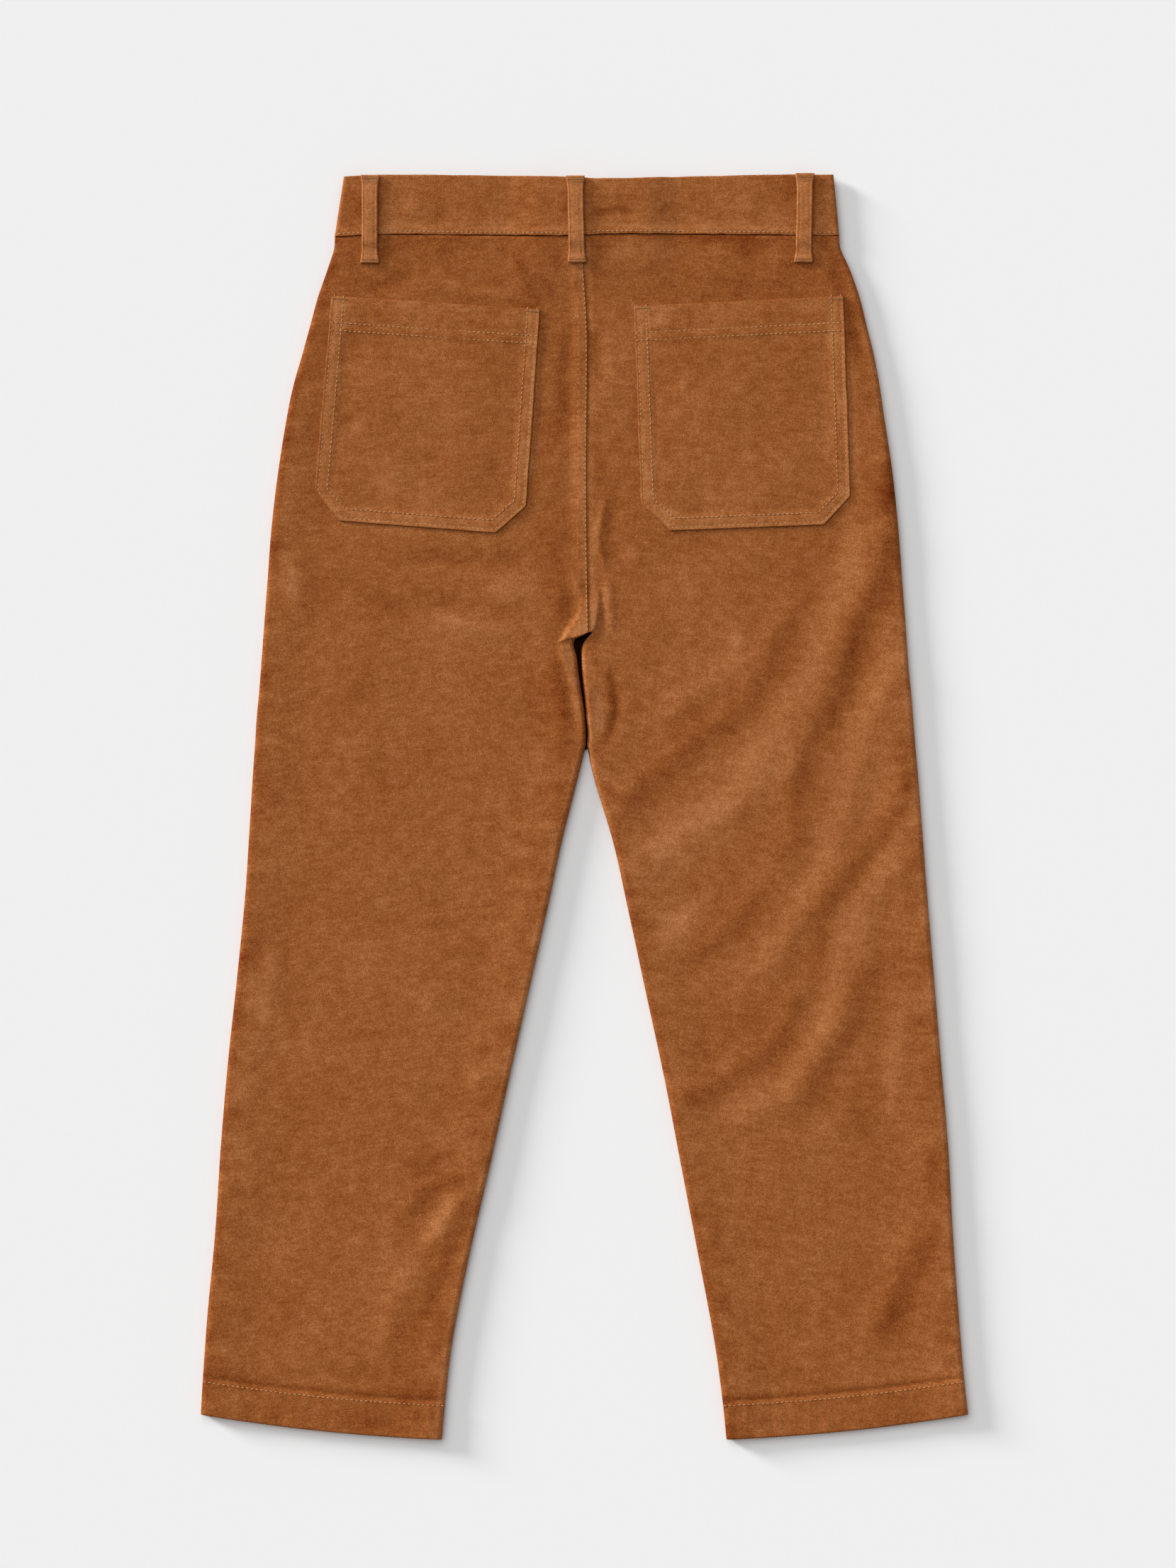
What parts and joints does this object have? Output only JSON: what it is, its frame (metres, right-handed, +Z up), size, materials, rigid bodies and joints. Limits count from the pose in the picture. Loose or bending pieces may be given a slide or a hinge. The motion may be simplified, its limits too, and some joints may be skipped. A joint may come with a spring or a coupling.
{
  "type": "corduroy trousers",
  "caption": "Straight-legged brown corduroy trousers laid flat, back up, with a waistband, belt loops, patch pockets and a felled seat seam.",
  "frame": {"origin": "middle of the bounding box's underside, on the surface that the trousers lie on", "axes": "+Y from the hems to the waist, +X to the right seen from above with the back up, +Z up"},
  "size_m": [0.4658, 0.768, 0.0114],
  "materials": {
    "corduroy": "fine needlecord in warm tan brown, with a soft short pile",
    "thread": "spun polyester topstitching thread, a little lighter than the cloth",
    "button": "dark brown four-hole sew-through button, satin"
  },
  "bodies": {
    "root": {"back_panel_left": "corduroy", "back_panel_right": "corduroy", "front_panel_left": "corduroy", "front_panel_right": "corduroy", "waistband_back": "corduroy", "waistband_front_left": "corduroy", "waistband_front_right": "corduroy", "patch_pocket_left": "corduroy", "patch_pocket_right": "corduroy", "belt_loop_back_left": "corduroy", "belt_loop_back_centre": "corduroy", "belt_loop_back_right": "corduroy", "belt_loop_front_left": "corduroy", "belt_loop_front_right": "corduroy", "waist_button": "button"}
  },
  "joints": []
}
